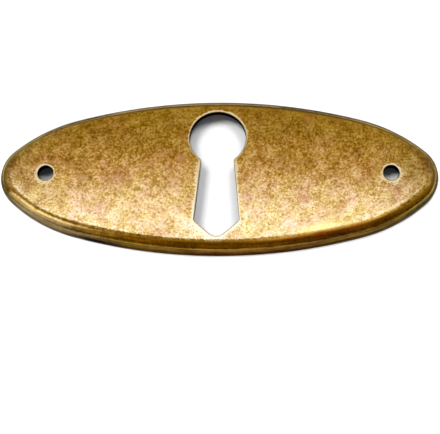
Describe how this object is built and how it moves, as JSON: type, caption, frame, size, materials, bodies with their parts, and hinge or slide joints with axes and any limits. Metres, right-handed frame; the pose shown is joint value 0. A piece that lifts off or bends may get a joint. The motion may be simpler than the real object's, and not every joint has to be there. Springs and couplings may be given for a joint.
{
  "type": "keyhole escutcheon",
  "caption": "Horizontal oval keyhole escutcheon pressed from sheet brass, with a flat face, turned-down rim, hollow back, keyhole and pin holes, for a drawer or cabinet lock.",
  "frame": {"origin": "centre of the oval in the plane of the foot, on which the plate lies", "axes": "+X along the oval's length, +Y along its width towards the keyhole's round head, +Z out of the face"},
  "size_m": [0.06, 0.022, 0.003],
  "materials": {
    "antiqued_brass": "antiqued, with a fine mottled patina, rubbed bright at the edges of the holes"
  },
  "bodies": {
    "root": {"escutcheon_plate": "antiqued_brass"}
  },
  "joints": []
}
